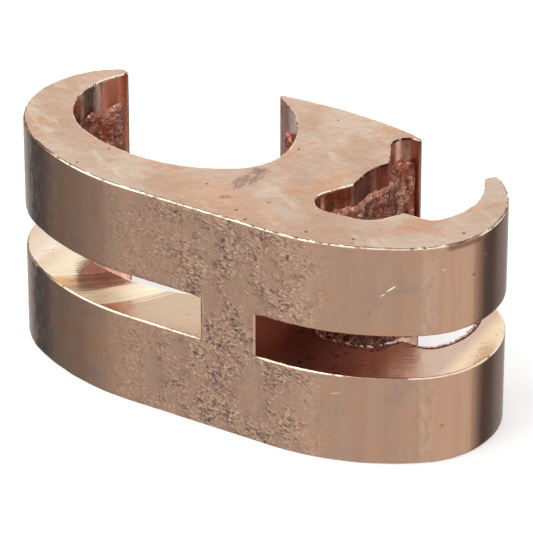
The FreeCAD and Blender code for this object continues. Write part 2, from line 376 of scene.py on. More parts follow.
class Finish:
    """A material with short names for the nodes that make it."""

    def __init__(self, name):
        self.material = bpy.data.materials.new(name)
        self.material.use_nodes = True
        self.tree = self.material.node_tree
        self.shader = self.tree.nodes["Principled BSDF"]
        coordinates = self.tree.nodes.new("ShaderNodeTexCoord")
        self.place = self.scaled(coordinates.outputs["Object"], (1.0 / MM,) * 3)

    def put(self, socket, value):
        if isinstance(value, bpy.types.NodeSocket):
            self.tree.links.new(value, socket)
        else:
            socket.default_value = value

    def scaled(self, vector, scale, turn=0.0):
        """The vector turned about Z by an angle in degrees, then multiplied."""
        node = self.tree.nodes.new("ShaderNodeMapping")
        node.vector_type = "POINT"
        if turn:
            turned = self.tree.nodes.new("ShaderNodeMapping")
            turned.inputs["Rotation"].default_value = (0.0, 0.0, math.radians(turn))
            self.put(turned.inputs["Vector"], vector)
            vector = turned.outputs["Vector"]
        node.inputs["Scale"].default_value = scale
        self.put(node.inputs["Vector"], vector)
        return node.outputs["Vector"]

    def noise(self, vector, scale, detail=2.0, roughness=0.5, distortion=0.0):
        node = self.tree.nodes.new("ShaderNodeTexNoise")
        self.put(node.inputs["Vector"], vector)
        node.inputs["Scale"].default_value = scale
        node.inputs["Detail"].default_value = detail
        node.inputs["Roughness"].default_value = roughness
        node.inputs["Distortion"].default_value = distortion
        return node.outputs["Fac"]

    def cells(self, vector, scale):
        node = self.tree.nodes.new("ShaderNodeTexVoronoi")
        self.put(node.inputs["Vector"], vector)
        node.inputs["Scale"].default_value = scale
        return node.outputs["Distance"]

    def step(self, value, low, high, start=0.0, end=1.0):
        """start below low, end above high and a smooth step between them."""
        node = self.tree.nodes.new("ShaderNodeMapRange")
        node.interpolation_type = "SMOOTHSTEP"
        self.put(node.inputs["Value"], value)
        node.inputs["From Min"].default_value = low
        node.inputs["From Max"].default_value = high
        node.inputs["To Min"].default_value = start
        node.inputs["To Max"].default_value = end
        return node.outputs["Result"]

    def math(self, operation, first, second=0.0):
        node = self.tree.nodes.new("ShaderNodeMath")
        node.operation = operation
        self.put(node.inputs[0], first)
        self.put(node.inputs[1], second)
        return node.outputs["Value"]

    def times(self, first, second):
        return self.math("MULTIPLY", first, second)

    def plus(self, first, second):
        return self.math("ADD", first, second)

    def either(self, first, second):
        """The larger of two shares."""
        return self.math("MAXIMUM", first, second)

    def rest(self, share):
        """What a share leaves of 1."""
        return self.math("SUBTRACT", 1.0, share)

    def mix(self, share, first, second):
        node = self.tree.nodes.new("ShaderNodeMix")
        node.data_type = "RGBA"
        self.put(node.inputs[0], share)
        self.put(node.inputs[6], first)
        self.put(node.inputs[7], second)
        return node.outputs[2]

    def wall_place(self):
        """Distance along the outline and height, in millimetres."""
        node = self.tree.nodes.new("ShaderNodeUVMap")
        node.uv_map = "wall"
        return node.outputs["UV"]

    def part_of(self, vector, axis):
        node = self.tree.nodes.new("ShaderNodeSeparateXYZ")
        self.put(node.inputs["Vector"], vector)
        return node.outputs[axis]

    def distance(self, vector, spot):
        node = self.tree.nodes.new("ShaderNodeVectorMath")
        node.operation = "DISTANCE"
        self.put(node.inputs[0], vector)
        node.inputs[1].default_value = spot
        return node.outputs["Value"]

    def mark(self, vector, center, turn, length, width):
        """1 inside a long narrow spot at a center, turned by an angle in degrees, and 0 outside."""
        node = self.tree.nodes.new("ShaderNodeMapping")
        node.vector_type = "TEXTURE"
        self.put(node.inputs["Vector"], vector)
        node.inputs["Location"].default_value = center
        node.inputs["Rotation"].default_value = (0.0, 0.0, math.radians(turn))
        node.inputs["Scale"].default_value = (length / 2.0, width / 2.0, 1.0)
        size = self.tree.nodes.new("ShaderNodeVectorMath")
        size.operation = "LENGTH"
        self.put(size.inputs[0], node.outputs["Vector"])
        return self.step(size.outputs["Value"], 0.5, 1.0, 1.0, 0.0)

    def span(self, value, start, end, soft):
        """1 between start and end, fading to 0 over soft on both sides."""
        return self.band(value, start - soft, start, end, end + soft)

    def band(self, value, start, full, fade, end):
        """0 before start, 1 from full to fade and 0 past the end."""
        return self.times(self.step(value, start, full), self.step(value, fade, end, 1.0, 0.0))

    def bump(self, height, depth, normal=None):
        """Relief of a given depth in millimetres."""
        node = self.tree.nodes.new("ShaderNodeBump")
        node.inputs["Distance"].default_value = depth * MM
        self.put(node.inputs["Height"], height)
        if normal is not None:
            self.put(node.inputs["Normal"], normal)
        return node.outputs["Normal"]

    def finish(self, color, roughness, normal=None, metallic=1.0):
        self.put(self.shader.inputs["Base Color"], color)
        self.put(self.shader.inputs["Roughness"], roughness)
        self.put(self.shader.inputs["Metallic"], metallic)
        if normal is not None:
            self.put(self.shader.inputs["Normal"], normal)
        return self.material


# Smudges on the top face: center, angle, length and width in millimetres
SMUDGES = (
    ((1.1, -5.0, HEIGHT), 74.0, 7.0, 2.6),
    ((0.8, -9.3, HEIGHT), 40.0, 1.8, 0.9),
    ((1.4, -2.7, HEIGHT), 20.0, 2.6, 1.4),
)

# The warmer tint on the top face: center, angle, length and width
TINT = ((1.0, -10.0, HEIGHT), -12.0, 20.0, 7.0)


def end_finish():
    """Sawn and tumbled end faces: satin tan with orange stains, small specks and a few smudges."""
    look = Finish("copper_end")
    clouds = look.noise(look.place, 0.14, 3.0)
    color = look.mix(look.step(clouds, 0.35, 0.65), rgb(182, 149, 126), rgb(196, 172, 152))
    stains = look.noise(look.scaled(look.place, (1.0, 0.5, 1.0), 35.0), 0.33, 4.0, 0.6, 0.6)
    color = look.mix(look.step(stains, 0.52, 0.68, 0.0, 0.6), color, rgb(192, 140, 104))
    pale = look.noise(look.scaled(look.place, (1.0, 0.35, 1.0), -60.0), 0.5, 3.0)
    color = look.mix(look.step(pale, 0.58, 0.75, 0.0, 0.5), color, rgb(212, 194, 176))
    tint = look.mark(look.place, *TINT)
    tint = look.times(tint, look.step(clouds, 0.3, 0.6, 0.2, 0.5))
    color = look.mix(tint, color, rgb(196, 148, 112))
    grain = look.noise(look.scaled(look.place, (0.5, 1.4, 1.0), 20.0), 2.2, 4.0, 0.7)
    color = look.mix(look.step(grain, 0.56, 0.72, 0.0, 0.35), color, rgb(150, 114, 92))
    smudge_shape = look.noise(look.scaled(look.place, (1.0, 0.5, 1.0), -16.0), 1.7, 5.0, 0.7, 1.2)
    for center, turn, length, width in SMUDGES:
        smudge = look.mark(look.place, center, turn, length, width)
        smudge = look.times(smudge, look.step(smudge_shape, 0.42, 0.52, 0.15, 0.8))
        color = look.mix(smudge, color, rgb(136, 106, 90))
    grit_size = look.noise(look.place, 0.4, 1.0)
    grit = look.plus(look.cells(look.place, 0.6), look.step(grit_size, 0.35, 0.6, 0.0, 0.12))
    color = look.mix(look.step(grit, 0.1, 0.16, 0.75, 0.0), color, rgb(96, 62, 44))
    lines = look.noise(look.scaled(look.place, (0.12, 3.0, 1.0), 8.0), 1.6, 2.0)
    roughness = look.step(lines, 0.3, 0.7, 0.31, 0.35)
    ripples = look.noise(look.place, 0.9, 4.0, 0.6)
    normal = look.bump(ripples, 0.05)
    normal = look.bump(lines, 0.0012, normal)
    return look.finish(color, roughness, normal)


# Marks on the outer walls: place along the outline and height, angle, length, width, share and colour
SCRATCHES = (
    ((56.3, 22.1, 0.0), 38.0, 1.5, 0.22, 1.0, rgb(255, 244, 226)),
    ((55.4, 21.3, 0.0), 30.0, 0.7, 0.2, 0.8, rgb(250, 232, 208)),
    ((61.9, 24.1, 0.0), 20.0, 0.6, 0.24, 0.5, rgb(240, 216, 190)),
    ((67.2, 24.3, 0.0), -30.0, 0.6, 0.24, 0.5, rgb(236, 212, 190)),
    ((65.5, 22.5, 0.0), 0.0, 0.5, 0.5, 0.6, rgb(96, 66, 54)),
    ((70.0, 17.9, 0.0), 0.0, 0.5, 0.5, 0.6, rgb(70, 50, 44)),
    ((50.5, 8.6, 0.0), 12.0, 1.4, 0.2, 0.5, rgb(240, 216, 192)),
    ((54.0, 19.0, 0.0), 70.0, 1.0, 0.2, 0.4, rgb(120, 88, 74)),
    ((62.0, 4.6, 0.0), 30.0, 0.7, 0.5, 0.4, rgb(122, 84, 66)),
)


# Bands of the outer wall along the outline: start, full, fade and end
PALE_STREAK = (59.2, 59.8, 61.0, 61.8)
# Where the left end's painted dark reflection band, partly patina, lies
LEFT_BAND = (9.5, 10.4, 12.0, 15.5)

# Stretches of the outer wall along the outline: start and end
# Where a painted warmer sheen lies on the front's right part
WARM_RIGHT = (61.8, 66.0)
# Where painted shade leads into the dark band that the right end reflects
REDDER_RIGHT = (65.9, 67.4)
# Where the slot floor's front edge gets no painted highlight
PLAIN_LOWER_EDGE = (51.5, 58.0)
# Where painted shade lies on the worn-over top edge
ROLLED_OVER = (62.6, 66.0)
ROLLED_FROM = (13.0, 17.0)

# Width of the light strip at the web's upright edges, and how far the slot's edge marks keep from the web
WEB_STRIP = 0.25
WEB_CLEAR = 0.05


def edge_share(look, wall, level, reach, scale, low, high):
    """1 on the rounding at a level, broken up along the edge, and 0 further along the wall's height."""
    height = look.part_of(wall, "Y")
    gap = look.math("ABSOLUTE", look.math("SUBTRACT", height, level))
    broken = look.noise(look.scaled(look.place, (1.0, 1.0, 0.0)), scale, 2.0, 0.6)
    return look.times(look.step(gap, reach * 0.6, reach, 1.0, 0.0), look.step(broken, low, high))


def skin_finish():
    """Extruded outer walls: reddish satin, hammered in mid-front, with painted highlights along the worn
    round edges and painted shade and reflections near the ends.
    """
    look = Finish("copper_skin")
    wall = look.wall_place()
    along = look.part_of(wall, "X")
    height = look.part_of(wall, "Y")
    across = look.part_of(look.place, "X")
    streaks = look.noise(look.scaled(look.place, (1.0, 1.0, 0.05)), 0.5, 3.0, 0.5)
    color = look.mix(look.step(streaks, 0.3, 0.7), rgb(172, 138, 118), rgb(180, 146, 124))
    clouds = look.noise(look.place, 0.26, 4.0, 0.6)
    color = look.mix(look.step(clouds, 0.5, 0.68, 0.0, 0.6), color, rgb(184, 138, 106))
    color = look.mix(look.step(clouds, 0.32, 0.46, 0.5, 0.0), color, rgb(160, 132, 120))
    rough = look.band(along, ROUGH_START, ROUGH_FULL, ROUGH_FADE, ROUGH_END)
    patches = look.noise(look.place, 0.24, 4.0, 0.65)
    rough = look.times(rough, look.step(patches, 0.4, 0.56, 0.12, 1.0))
    flecks = look.noise(look.scaled(wall, (0.75, 1.15, 1.0), 16.0), 2.9, 5.0, 0.76, 0.4)
    color = look.mix(look.times(rough, 0.7), color, rgb(206, 168, 143))
    shades = look.noise(look.scaled(wall, (0.7, 1.0, 1.0), 16.0), 0.75, 3.0, 0.6)
    color = look.mix(look.times(look.step(shades, 0.48, 0.6, 0.0, 0.6), rough), color, rgb(142, 114, 104))
    # Dark and light flecks on the hammered front: partly the grain's own tone, partly painted reflections of
    # the dark surroundings and painted glints
    dark = look.times(look.step(flecks, 0.43, 0.49, 1.0, 0.0), rough)
    dark = look.times(dark, look.step(shades, 0.4, 0.55, 0.45, 1.0))
    color = look.mix(look.times(dark, 0.9), color, rgb(88, 66, 62))
    light = look.times(look.step(flecks, 0.55, 0.62, 0.0, 0.9), rough)
    color = look.mix(light, color, rgb(250, 218, 192))
    grain = look.noise(look.place, 4.0, 3.0, 0.7)
    color = look.mix(look.step(grain, 0.54, 0.7, 0.0, 0.3), color, rgb(132, 102, 88))
    streak = look.band(along, *PALE_STREAK)
    blotches = look.noise(look.scaled(look.place, (1.0, 1.0, 0.6)), 1.3, 4.0, 0.7)
    streak = look.times(streak, look.step(blotches, 0.36, 0.62, 0.1, 0.7))
    color = look.mix(streak, color, rgb(198, 166, 142))
    # Darker left end: partly tarnish, partly a painted reflection of the dark surroundings
    left_side = look.step(across, -26.5, -19.0, 1.0, 0.0)
    left_end_tarnish_and_reflection = look.times(left_side, look.step(blotches, 0.4, 0.66, 0.1, 0.6))
    color = look.mix(left_end_tarnish_and_reflection, color, rgb(126, 104, 97))
    # Paler far left end: a painted highlight, with the roughness raised there as well
    far_left_end = look.step(across, -27.2, -26.2, 1.0, 0.0)
    left_end_highlight = look.times(far_left_end, look.step(blotches, 0.3, 0.6, 0.3, 0.65))
    color = look.mix(left_end_highlight, color, rgb(206, 182, 166))
    # Dark ragged band near the left end: partly patina, partly a painted reflection of the dark surroundings
    ragged = look.plus(along, look.step(blotches, 0.3, 0.7, -0.9, 0.9))
    left_patina_and_reflection_band = look.band(ragged, *LEFT_BAND)
    left_patina_and_reflection_band = look.times(left_patina_and_reflection_band, look.step(blotches, 0.3, 0.6, 0.45, 0.85))
    color = look.mix(left_patina_and_reflection_band, color, rgb(80, 67, 68))
    left_flecks = look.times(look.step(along, 12.0, 16.0, 0.5, 0.15), look.step(flecks, 0.6, 0.66))
    color = look.mix(left_flecks, color, rgb(206, 186, 172))
    # Painted warmer sheen on the front's right part
    warm_sheen = look.times(look.span(along, *WARM_RIGHT, 1.4), look.step(streaks, 0.3, 0.6, 0.6, 1.0))
    color = look.mix(warm_sheen, color, rgb(192, 153, 127))
    # Painted shade: the wall turns redder and darker just before the dark band that the right end reflects
    redder = look.times(look.span(along, *REDDER_RIGHT, 0.6), 0.5)
    color = look.mix(redder, color, rgb(152, 110, 90))
    # Painted highlight along the worn round edges at the top and at the slot floor, partly burnished copper
    upper = edge_share(look, wall, HEIGHT, 0.2, 0.5, 0.3, 0.46)
    in_web = look.either(
        look.span(along, WEB_START - WEB_CLEAR, WEB_END + WEB_CLEAR, 0.2),
        look.span(along, ARM_WEB_START - WEB_CLEAR, ARM_WEB_END + WEB_CLEAR, 0.2))
    slotted = look.rest(in_web)
    lower = look.times(edge_share(look, wall, SLOT_FLOOR, 0.2, 0.6, 0.3, 0.46), slotted)
    lower = look.times(lower, look.rest(look.span(along, *PLAIN_LOWER_EDGE, 0.5)))
    rolled_edge_highlight = look.times(look.either(upper, lower), look.step(along, *ROLLED_FROM))
    color = look.mix(look.times(rolled_edge_highlight, 0.85), color, rgb(255, 236, 208))
    under = look.times(edge_share(look, wall, SLOT_CEILING, 0.28, 0.9, 0.2, 0.4), slotted)
    color = look.mix(look.times(under, 0.6), color, rgb(200, 112, 80))
    web_edges = look.either(
        look.span(along, WEB_START, WEB_START + WEB_STRIP, 0.08),
        look.span(along, WEB_END - WEB_STRIP, WEB_END, 0.08))
    web_edges = look.times(web_edges, look.span(height, SLOT_FLOOR + 0.2, SLOT_CEILING - 0.2, 0.2))
    color = look.mix(look.times(web_edges, 0.55), color, rgb(226, 182, 150))
    nicks = edge_share(look, wall, HEIGHT, 0.16, 1.1, 0.56, 0.62)
    color = look.mix(look.times(nicks, 0.8), color, rgb(84, 60, 50))
    rim = edge_share(look, wall, HEIGHT, 0.06, 0.8, 0.4, 0.5)
    color = look.mix(look.times(rim, 0.75), color, rgb(100, 70, 56))
    # Painted shade on the right part's worn-over top edge, below its highlight
    rolled_over_shade = look.times(look.span(along, *ROLLED_OVER, 0.8), look.step(height, 26.1, 26.5))
    color = look.mix(look.times(rolled_over_shade, 0.75), color, rgb(120, 84, 68))
    for center, turn, length, width, share, shade in SCRATCHES:
        scratch = look.times(look.mark(wall, center, turn, length, width), share)
        color = look.mix(scratch, color, shade)
    roughness = look.plus(look.step(rough, 0.0, 1.0, 0.2, 0.3), look.times(grain, 0.08))
    roughness = look.plus(roughness, look.times(far_left_end, 0.16))
    relief = look.times(flecks, look.plus(look.times(rough, 0.9), 0.1))
    normal = look.bump(relief, 0.11)
    normal = look.bump(streaks, 0.03, normal)
    normal = look.bump(grain, 0.006, normal)
    return look.finish(color, roughness, normal)


# Stretches of the large groove's wall at the left hook: start and end
HOOK_FACE = (194.0, 197.0)
# Where a painted grey-brown reflection dims the hook wall
HOOK_PALE_BAND = (192.7, 193.9)
# Where a painted highlight strip lies near the hook's tip
HOOK_HIGHLIGHT_STRIP = (196.1, 196.6)
HOOK_SHINE = (192.3, 196.6)
HOOK_SATIN = (194.2, 196.2)
RUN_STAIN = (187.3, 192.3)

# Stretches of the small groove's wall: start and end
NEST_SHINE = (107.6, 111.8)
WAIST = (112.2, 118.0)
WAIST_SHADE = (112.2, 117.8)
TAP_STAIN = (118.4, 125.1)
UNDERCUT_SHADE = (121.6, 124.4)
TAP_SATIN = (111.8, 125.3)


def groove_finish():
    """Groove walls: redder and smoother copper with upright draw lines, a burred upper edge and painted
    highlights, reflections and shade along the walls.
    """
    look = Finish("copper_groove")
    wall = look.wall_place()
    along = look.part_of(wall, "X")
    streaks = look.noise(look.scaled(look.place, (1.0, 1.0, 0.05)), 0.8, 4.0, 0.6)
    color = look.mix(look.step(streaks, 0.36, 0.64), rgb(186, 138, 120), rgb(222, 180, 158))
    clouds = look.noise(look.place, 0.5, 3.0)
    color = look.mix(look.step(clouds, 0.48, 0.66, 0.0, 0.5), color, rgb(214, 132, 96))
    smears = look.noise(look.scaled(look.place, (1.0, 1.0, 0.6)), 1.0, 4.0, 0.7)
    color = look.mix(look.step(smears, 0.58, 0.68, 0.0, 0.5), color, rgb(112, 66, 54))
    hook = look.span(along, *HOOK_FACE, 0.1)
    color = look.mix(look.times(hook, 0.75), color, rgb(230, 176, 154))
    # Painted grey-brown reflection band that dims the hook wall
    dimmed_reflection_band = look.span(along, *HOOK_PALE_BAND, 0.1)
    color = look.mix(look.times(dimmed_reflection_band, 0.7), color, rgb(160, 134, 120))
    height = look.part_of(wall, "Y")
    film_edge = look.plus(height, look.step(smears, 0.3, 0.7, -0.8, 0.8))
    film = look.band(film_edge, SLOT_CEILING, SLOT_CEILING + 1.0, 23.8, 24.8)
    stained = look.either(look.span(along, *RUN_STAIN, 0.6), look.span(along, *TAP_STAIN, 0.4))
    film = look.times(film, stained)
    waist = look.times(look.span(along, *WAIST, 0.3), look.step(smears, 0.35, 0.6, 0.75, 1.0))
    film = look.either(film, waist)
    color = look.mix(look.times(film, 0.88), color, rgb(150, 74, 52))
    # Painted highlight strip near the hook's tip
    strip = look.span(along, *HOOK_HIGHLIGHT_STRIP, 0.2)
    color = look.mix(look.times(strip, 0.8), color, rgb(255, 200, 166))
    # Painted highlights along the groove's worn upper edge and on the wall just below it
    upper = edge_share(look, wall, HEIGHT, 0.16, 0.8, 0.5, 0.6)
    color = look.mix(look.times(upper, 0.7), color, rgb(246, 220, 194))
    shine = look.either(look.span(along, *HOOK_SHINE, 0.4), look.span(along, *NEST_SHINE, 0.3))
    shine = look.times(shine, edge_share(look, wall, HEIGHT, 0.34, 1.2, 0.26, 0.4))
    color = look.mix(shine, color, rgb(255, 244, 226))
    dull = look.either(look.span(along, *WAIST_SHADE, 0.3), look.span(along, *UNDERCUT_SHADE, 0.3))
    dull = look.times(dull, edge_share(look, wall, HEIGHT, 0.26, 1.6, 0.36, 0.5))
    color = look.mix(dull, color, rgb(66, 42, 36))
    burr = edge_share(look, wall, HEIGHT, 0.3, 2.0, 0.58, 0.64)
    color = look.mix(burr, color, rgb(70, 42, 34))
    satin = look.either(look.span(along, *TAP_SATIN, 0.5), look.span(along, *HOOK_SATIN, 0.4))
    roughness = look.plus(look.step(clouds, 0.35, 0.65, 0.1, 0.2), look.times(satin, 0.2))
    normal = look.bump(streaks, 0.02)
    normal = look.bump(look.noise(look.place, 0.8, 3.0, 0.6), 0.03, normal)
    return look.finish(color, roughness, normal)


# Centers of the curved lines that the saw left in the left and right slots
SAW_CENTER_LEFT = (-29.0, 6.0, 0.0)
SAW_CENTER_RIGHT = (-2.0, 29.0, 0.0)


def slot_finish():
    """Saw-cut faces of the slots: bright, partly from painted highlights and reflections, with painted shade
    beside the web and shallow curved lines left by the blade.
    """
    look = Finish("copper_slot")
    across = look.part_of(look.place, "X")
    right = look.step(across, 2.9, 3.1)
    level_place = look.scaled(look.place, (1.0, 1.0, 0.0))
    left_radius = look.distance(level_place, SAW_CENTER_LEFT)
    right_radius = look.distance(level_place, SAW_CENTER_RIGHT)
    radius = look.tree.nodes.new("ShaderNodeCombineXYZ")
    look.put(radius.inputs["X"], look.times(left_radius, look.rest(right)))
    look.put(radius.inputs["Z"], look.times(right_radius, right))
    look.put(radius.inputs["Y"], look.times(across, 0.05))
    arcs = look.noise(radius.outputs["Vector"], 3.2, 4.0, 0.7)
    strokes = look.noise(radius.outputs["Vector"], 1.4, 3.0, 0.7)
    ring = look.plus(left_radius, look.step(strokes, 0.3, 0.7, -1.0, 1.0))
    on_floor = look.step(look.part_of(look.place, "Z"), 13.0, 14.0, 1.0, 0.0)
    pink_end = look.times(on_floor, look.step(across, -25.8, -22.6, 1.0, 0.0))
    # Painted highlight: cream copper at the left slot's open end, then painted reflection rings, one lighter
    # and one duller, further in
    color = look.mix(look.step(across, -27.4, -26.0), rgb(240, 214, 188), rgb(255, 247, 230))
    color = look.mix(look.times(pink_end, 0.7), color, rgb(226, 198, 172))
    color = look.mix(look.step(ring, 20.9, 21.7), color, rgb(255, 240, 210))
    color = look.mix(look.step(ring, 23.6, 25.0), color, rgb(210, 182, 155))
    warm_rim = look.times(look.step(ring, 17.6, 19.4), look.step(across, -19.0, -16.5, 0.75, 0.0))
    color = look.mix(warm_rim, color, rgb(238, 180, 128))
    # Painted dark reflection along the blade's strokes on the left slot
    dark_stroke_reflection = look.times(look.span(ring, 19.0, 21.2, 0.5), look.step(across, -19.5, -17.0))
    dark_stroke_reflection = look.times(dark_stroke_reflection, look.step(strokes, 0.3, 0.56, 0.15, 0.6))
    color = look.mix(dark_stroke_reflection, color, rgb(150, 98, 84))
    color = look.mix(right, color, rgb(188, 132, 114))
    # Painted shade deep in the right slot beside the web
    shade_beside_web = look.times(right, look.step(across, 7.5, 12.5, 0.5, 0.0))
    color = look.mix(shade_beside_web, color, rgb(146, 88, 70))
    color = look.mix(look.step(across, 15.0, 21.0), color, rgb(208, 180, 160))
    # Painted highlight at the right slot's open end
    color = look.mix(look.step(across, 24.5, 26.5), color, rgb(244, 216, 182))
    color = look.mix(look.step(arcs, 0.56, 0.7, 0.0, 0.3), color, rgb(170, 116, 92))
    grit = look.cells(look.place, 0.8)
    color = look.mix(look.step(grit, 0.05, 0.12, 0.5, 0.0), color, rgb(92, 58, 46))
    spots = look.noise(look.place, 0.9, 3.0, 0.6)
    spotted = look.times(look.step(spots, 0.58, 0.66), look.span(across, 9.0, 17.0, 2.0))
    color = look.mix(look.times(spotted, 0.7), color, rgb(74, 40, 34))
    dull = look.times(look.span(across, 3.0, 14.0, 5.0), 0.2)
    dull = look.plus(dull, look.times(look.span(ring, 21.6, 23.6, 0.8), 0.22))
    cream = look.times(look.step(ring, 17.5, 20.0, 1.0, 0.0), look.rest(right))
    dull = look.math("SUBTRACT", dull, look.times(cream, 0.06))
    roughness = look.plus(look.step(arcs, 0.3, 0.7, 0.12, 0.22), dull)
    normal = look.bump(arcs, 0.012)
    normal = look.bump(look.noise(look.place, 0.5, 2.0, 0.5), 0.03, normal)
    return look.finish(color, roughness, normal)


def compound_finish():
    """Gritty joint compound: glossy copper brown with bright metal grains."""
    look = Finish("joint_compound_wet")
    clouds = look.noise(look.place, 0.9, 4.0, 0.6)
    color = look.mix(look.step(clouds, 0.38, 0.62), rgb(136, 84, 70), rgb(196, 142, 122))
    stained = look.noise(look.place, 0.35, 2.0, 0.5)
    color = look.mix(look.step(stained, 0.5, 0.6, 0.0, 0.6), color, rgb(160, 80, 56))
    grains = look.noise(look.place, 2.6, 3.0, 0.7)
    bright = look.step(grains, 0.6, 0.67)
    low_band = look.step(look.part_of(look.place, "Z"), SLOT_FLOOR + 0.6, SLOT_CEILING, 1.0, 0.0)
    color = look.mix(look.times(low_band, 0.65), color, rgb(104, 52, 38))
    grain_share = look.step(low_band, 0.0, 1.0, 0.9, 0.4)
    color = look.mix(look.times(bright, grain_share), color, rgb(252, 222, 194))
    normal = look.bump(look.noise(look.place, 1.6, 3.0, 0.55), 0.2)
    normal = look.bump(grains, 0.03, normal)
    roughness = look.step(clouds, 0.3, 0.7, 0.12, 0.3)
    metallic = look.step(grains, 0.4, 0.65, 0.55, 1.0)
    return look.finish(color, roughness, normal, metallic)


FINISHES = {
    "end": end_finish(),
    "skin": skin_finish(),
    "groove": groove_finish(),
    "slot": slot_finish(),
}
COMPOUND_FINISH = compound_finish()


# Joint compound

# Grid of a layer, and the depths in millimetres of its inner face and of a spot without compound
COMPOUND_STEP = 0.2
COMPOUND_ROOT = -0.2
COMPOUND_ABSENT = -0.1
COMPOUND_THINNEST = 0.03

# How a layer fades out at its ends and edges, and how far its upper edge wanders, in millimetres
END_FADE = 0.8
EDGE_FADE = 0.35
EDGE_WANDER = 0.7

# Share of the lumps and the grit that a thin stretch or a film takes away or adds
THIN_LOSS = 0.35
THIN_GRIT = 0.42
FILM_LUMP_LOSS = 0.75
FILM_GRIT_LOSS = 0.8

# A column this near to a vertex of the frame's layer carries compound, in millimetres
TOUCHING = 0.35

# Places along the outline: where the right hook's thin compound ends, and the film at the left hook
TAP_HOOK_FULL = 90.0
TAP_HOOK_END = 94.0
RUN_FILM_FULL = 186.3
RUN_FILM_END = 187.8
RUN_FILM_STOP = 191.1
RUN_FILM_OVER = 192.7


def compound_depth(place, height, reach, low, high, seed, drop):
    """Thickness of the smeared compound on a groove wall, below zero where there is none."""
    start, end = reach
    x, y = around(place, seed)
    rim = 1.1 * wave(x, y, 1.0, 0.22) + 0.55 * wave(x, y, 4.0, 1.0) + 0.25 * wave(x, y, 8.0, 2.6)
    fade = smooth(start, start + END_FADE, place) * (1.0 - smooth(end - END_FADE, end, place))
    edge = high - drop + EDGE_WANDER * rim
    fade *= 1.0 - smooth(edge - EDGE_FADE, edge + EDGE_FADE, height)
    fade *= smooth(low - 0.05, low + EDGE_FADE, height)
    lumps = 0.34 + 0.36 * wave(x, y, height, 0.6) + 0.42 * abs(wave(x + 20.0, y, height, 1.0))
    grit = 0.16 * wave(x + 60.0, y, height, 2.4)
    thin = 1.0 - smooth(TAP_HOOK_FULL, TAP_HOOK_END, place)
    lumps *= 1.0 - THIN_LOSS * thin
    grit += THIN_GRIT * thin * abs(wave(x + 80.0, y, height, 2.8))
    film = smooth(RUN_FILM_FULL, RUN_FILM_END, place) * (1.0 - smooth(RUN_FILM_STOP, RUN_FILM_OVER, place))
    lumps *= 1.0 - FILM_LUMP_LOSS * film
    grit *= 1.0 - FILM_GRIT_LOSS * film
    depth = max(lumps + grit, COMPOUND_THINNEST)
    return COMPOUND_ABSENT + (depth - COMPOUND_ABSENT) * fade


def build_compound(node_name, seed, drop):
    """A closed lumpy layer on the wall that the frame's even layer of compound lies on."""
    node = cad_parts[node_name]
    corner_low, corner_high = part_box(node_name)
    low, high = corner_low[2] / MM, corner_high[2] / MM
    touching = [vertex.co.xy / MM for vertex in node.data.vertices]
    near = []
    for column in columns:
        if is_groove(column.place) and min((column.point - spot).length for spot in touching) < TOUCHING:
            near.append(column.place)
    reach = (min(near), max(near))
    parts = round((reach[1] - reach[0]) / COMPOUND_STEP)
    rows = round((high - low) / COMPOUND_STEP)
    held = [column for column in columns if reach[0] <= column.place <= reach[1]]
    vertices, faces = [], []

    def spot_at(place):
        index = 0
        while index < len(held) - 2 and held[index + 1].place < place:
            index += 1
        first, second = held[index], held[index + 1]
        part = (place - first.place) / (second.place - first.place)
        return first.point.lerp(second.point, part), first.outward.lerp(second.outward, part).normalized()

    for side in (0, 1):
        for part in range(parts + 1):
            place = reach[0] + (reach[1] - reach[0]) * part / parts
            point, outward = spot_at(place)
            for row in range(rows + 1):
                height = low + (high - low) * row / rows
                depth = COMPOUND_ROOT if side else compound_depth(place, height, reach, low, high, seed, drop)
                spot = point + outward * depth
                vertices.append((spot.x * MM, spot.y * MM, height * MM))
    back = (parts + 1) * (rows + 1)

    def corner(side, part, row):
        return side * back + part * (rows + 1) + row

    def strip(near, far, part, next_part, row, next_row):
        """A face whose first two corners are on the near side and the others on the far side."""
        return (corner(near, part, row), corner(near, next_part, row),
                corner(far, next_part, next_row), corner(far, part, next_row))

    for part in range(parts):
        for row in range(rows):
            quad = strip(0, 0, part, part + 1, row, row + 1)
            faces.append(quad)
            faces.append(tuple(index + back for index in quad[::-1]))
        faces.append((corner(0, part, 0), corner(1, part, 0), corner(1, part + 1, 0), corner(0, part + 1, 0)))
        faces.append(strip(0, 1, part, part + 1, rows, rows))
    for row in range(rows):
        faces.append((corner(0, 0, row), corner(0, 0, row + 1), corner(1, 0, row + 1), corner(1, 0, row)))
        faces.append((corner(0, parts, row), corner(1, parts, row),
                      corner(1, parts, row + 1), corner(0, parts, row + 1)))
    mesh = bpy.data.meshes.new(node_name + "_lumps")
    mesh.from_pydata(vertices, [], faces)
    mesh.polygons.foreach_set("use_smooth", [True] * len(mesh.polygons))
    mesh.materials.append(COMPOUND_FINISH)
    mesh.validate()
    piece = bpy.data.objects.new(node_name + "_lumps", mesh)
    bpy.context.collection.objects.link(piece)
    return piece


body = build_body()
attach(body, "root")
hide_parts("connector_body")

# Each layer of compound, the seed of its noise and how far its upper edge lies below the frame's,
# less than zero where the compound fills the band to its top
LAYERS = (
    ("run_groove_compound", 200.0, 0.6),
    ("tap_groove_compound_upper", 235.0, 0.7),
    ("tap_groove_compound_lower", 270.0, -2.0),
)
for name, seed, drop in LAYERS:
    layer = build_compound(name, seed, drop)
    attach(layer, "root")
    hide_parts(name)


# Camera, floor and light

AIM = Vector((0.693, -0.417, 13.5)) * MM
CAMERA_DISTANCE = 550.4 * MM
CAMERA_BACK = Vector((0.42402, -0.73443, 0.52992))
CAMERA_LENS = 343.7
SENSOR_WIDTH = 36.0

